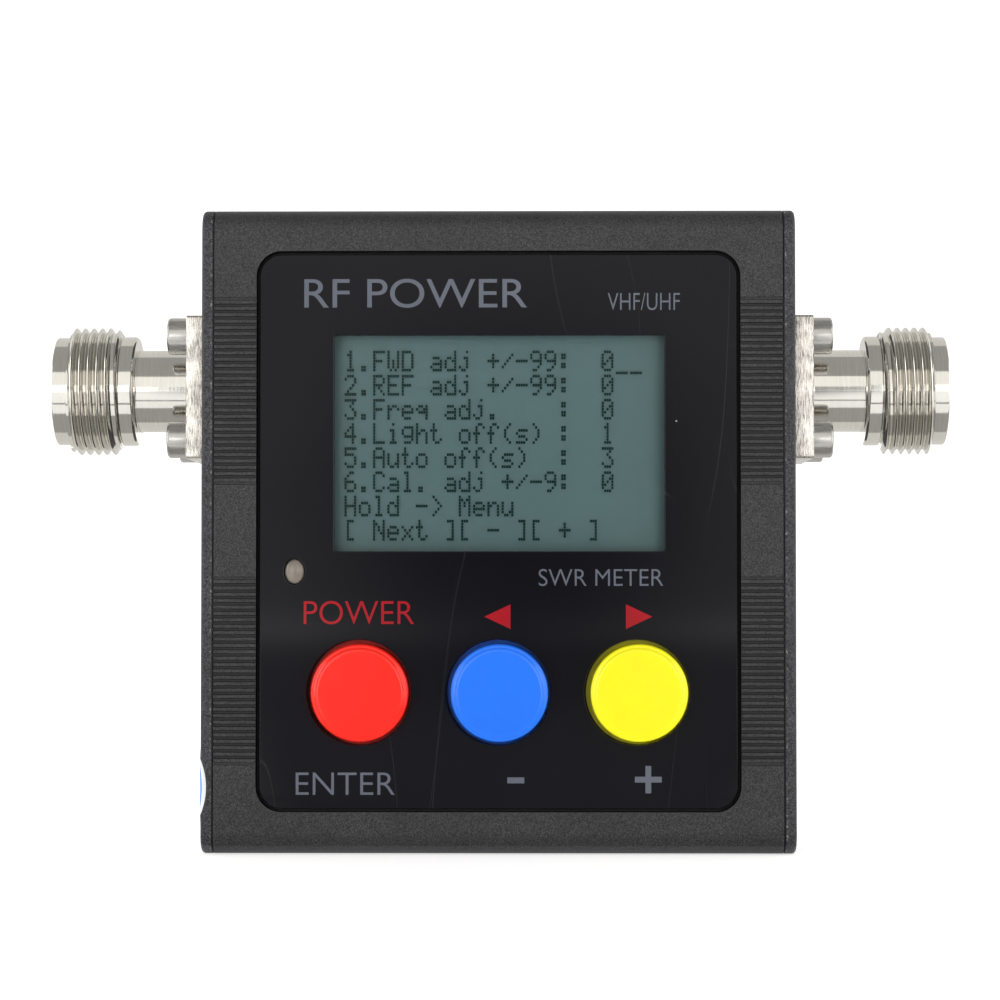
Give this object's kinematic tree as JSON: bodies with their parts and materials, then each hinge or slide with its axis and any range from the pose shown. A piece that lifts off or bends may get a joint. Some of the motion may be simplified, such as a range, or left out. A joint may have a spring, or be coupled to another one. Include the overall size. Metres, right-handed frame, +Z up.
{
  "type": "swr meter",
  "caption": "Pocket RF power and SWR meter: ribbed aluminium box with a screen, push buttons and a threaded RF jack on each side.",
  "frame": {"origin": "centre of the bottom face, in the plane through both jacks, half-way through the casing's depth", "axes": "+X right as seen from the front, along both jacks; the front faces -Y; +Z up"},
  "size_m": [0.1102, 0.0442, 0.076],
  "materials": {
    "anodised_shell": "matte",
    "anodised_plate": "matte",
    "black_screw": "satin",
    "nickel": "satin",
    "steel_screw": "satin",
    "ptfe": "satin",
    "contact_brass": "polished",
    "milled_aluminium": "satin",
    "circuit_board": "satin",
    "black_moulding": "matte",
    "acrylic": "gloss",
    "adhesive_tape": "matte",
    "display_glass": "gloss",
    "light_guide": "satin",
    "polyimide": "satin",
    "lamp_lens": "gloss",
    "component_epoxy": "matte",
    "spring_steel": "satin",
    "battery_foil": "satin",
    "white_moulding": "satin",
    "lead_sleeve": "satin",
    "sticker_paper": "satin",
    "red_cap": "satin",
    "blue_cap": "satin",
    "yellow_cap": "satin"
  },
  "bodies": {
    "casing": {"battery": "battery_foil", "battery_leads": "lead_sleeve", "battery_pad": "adhesive_tape", "battery_plug": "white_moulding", "battery_socket": "white_moulding", "board_components": "component_epoxy", "board_screws": "steel_screw", "coupler_board": "circuit_board", "coupler_box": "milled_aluminium", "coupler_lid": "milled_aluminium", "coupler_lid_screws": "steel_screw", "front_panel": "acrylic", "front_shell": "anodised_shell", "inspection_sticker": "sticker_paper", "lcd_backlight": "light_guide", "lcd_frame": "black_moulding", "lcd_glass": "display_glass", "lcd_ribbon": "polyimide", "led_spacer": "black_moulding", "left_end_plate": "anodised_plate", "left_jack_body": "nickel", "left_jack_contact": "contact_brass", "left_jack_insulator": "ptfe", "left_jack_screws": "steel_screw", "left_plate_screws": "black_screw", "main_board": "circuit_board", "minus_switch_body": "black_moulding", "minus_switch_cover": "spring_steel", "minus_switch_dome": "spring_steel", "panel_tape": "adhesive_tape", "plus_switch_body": "black_moulding", "plus_switch_cover": "spring_steel", "plus_switch_dome": "spring_steel", "power_switch_body": "black_moulding", "power_switch_cover": "spring_steel", "power_switch_dome": "spring_steel", "rear_shell": "anodised_shell", "right_end_plate": "anodised_plate", "right_jack_body": "nickel", "right_jack_contact": "contact_brass", "right_jack_insulator": "ptfe", "right_jack_screws": "steel_screw", "right_plate_screws": "black_screw", "sense_header": "black_moulding", "sense_pins": "contact_brass", "status_led": "lamp_lens", "usb_socket": "spring_steel"},
    "power_body": {"power_button": "red_cap", "power_switch_stem": "white_moulding"},
    "minus_body": {"minus_button": "blue_cap", "minus_switch_stem": "white_moulding"},
    "plus_body": {"plus_button": "yellow_cap", "plus_switch_stem": "white_moulding"}
  },
  "joints": [
    {"name": "power_press", "type": "slide", "parent": "casing", "child": "power_body", "axis": [0, 1, 0], "range_m": [0, 0.0003], "stiffness_N_per_m": 1500, "deforming": ["power_switch_dome"]},
    {"name": "minus_press", "type": "slide", "parent": "casing", "child": "minus_body", "axis": [0, 1, 0], "range_m": [0, 0.0003], "stiffness_N_per_m": 1500, "deforming": ["minus_switch_dome"]},
    {"name": "plus_press", "type": "slide", "parent": "casing", "child": "plus_body", "axis": [0, 1, 0], "range_m": [0, 0.0003], "stiffness_N_per_m": 1500, "deforming": ["plus_switch_dome"]}
  ]
}
